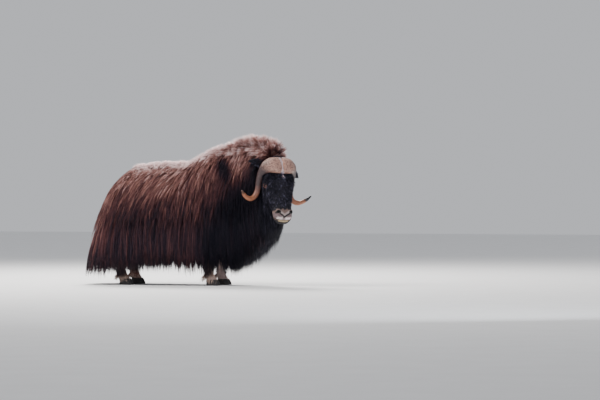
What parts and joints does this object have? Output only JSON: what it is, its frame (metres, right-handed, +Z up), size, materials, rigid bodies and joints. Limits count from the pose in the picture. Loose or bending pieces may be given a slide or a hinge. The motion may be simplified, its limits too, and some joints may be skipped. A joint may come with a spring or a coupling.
{
  "type": "muskox",
  "caption": "Standing bull muskox with a long hanging coat, a shoulder hump, down-curved horns and its head turned to its right.",
  "frame": {"origin": "centre of the animal's outer box, at the level of its soles", "axes": "+X forward along the spine, +Y to the animal's left, +Z up"},
  "size_m": [2.2529, 0.8436, 1.4549],
  "materials": {
    "long_coat": "long dark brown guard hair with paler red-brown streaks",
    "dark_coat": "short near-black hair",
    "leg_hair": "short pale beige hair",
    "horn": "satin horn, tan to orange-brown, with near-black tips",
    "hoof": "matte near-black horn",
    "eye": "wet, near-black"
  },
  "bodies": {
    "root": {"beard": "dark_coat", "ear_left": "dark_coat", "ear_right": "dark_coat", "eye_left": "eye", "eye_right": "eye", "flank_left": "long_coat", "flank_right": "long_coat", "haunch_left": "long_coat", "haunch_right": "long_coat", "head": "dark_coat", "hoof_fore_left_inner": "hoof", "hoof_fore_left_outer": "hoof", "hoof_fore_right_inner": "hoof", "hoof_fore_right_outer": "hoof", "hoof_hind_left_inner": "hoof", "hoof_hind_left_outer": "hoof", "hoof_hind_right_inner": "hoof", "hoof_hind_right_outer": "hoof", "horn_left": "horn", "horn_right": "horn", "leg_fore_left": "leg_hair", "leg_fore_right": "leg_hair", "leg_hind_left": "leg_hair", "leg_hind_right": "leg_hair", "neck": "long_coat", "rump_left": "long_coat", "rump_right": "long_coat", "shoulder_left": "long_coat", "shoulder_right": "long_coat"}
  },
  "joints": []
}
